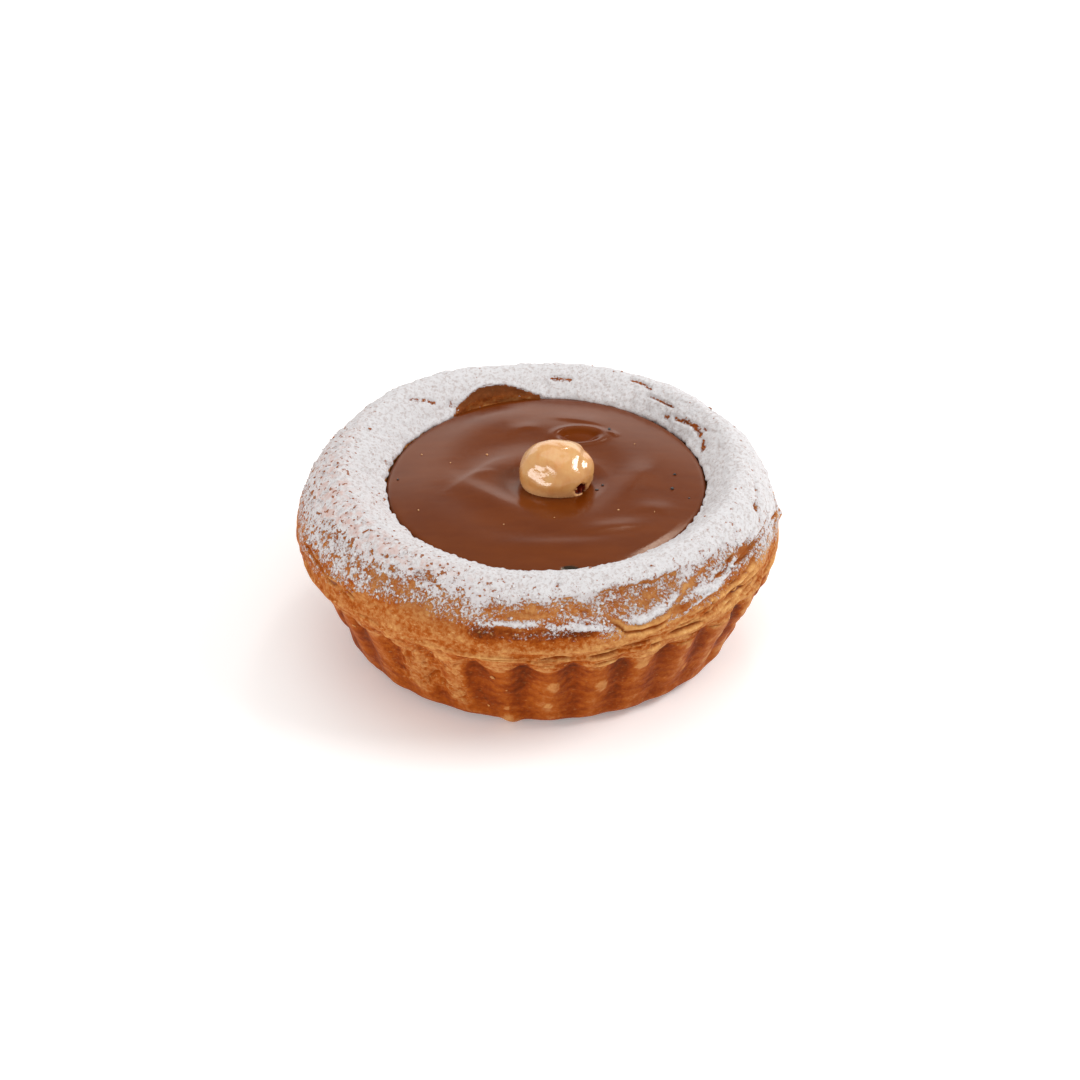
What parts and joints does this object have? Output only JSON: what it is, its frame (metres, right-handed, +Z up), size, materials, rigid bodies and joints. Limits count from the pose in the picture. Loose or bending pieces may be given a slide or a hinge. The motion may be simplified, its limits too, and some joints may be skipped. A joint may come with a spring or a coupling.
{
  "type": "chocolate puff pastry",
  "caption": "Round puff pastry tartlet with a fluted side, a puffed rim dusted with sugar, a filling of chocolate cream and a roasted hazelnut on top.",
  "frame": {"origin": "middle of the flat base that the pastry rests on", "axes": "+Z up out of the base, -Y to the front of the pastry, +X to its right"},
  "size_m": [0.0884, 0.0885, 0.0376],
  "materials": {
    "baked_crust": "dry, flaky, golden to brown",
    "icing_sugar": "matt white powder",
    "chocolate_cream": "smooth, half gloss",
    "roasted_nut": "smooth, oily gloss"
  },
  "bodies": {
    "root": {"pastry_shell": "baked_crust", "chocolate_cream": "chocolate_cream", "hazelnut": "roasted_nut"}
  },
  "joints": []
}
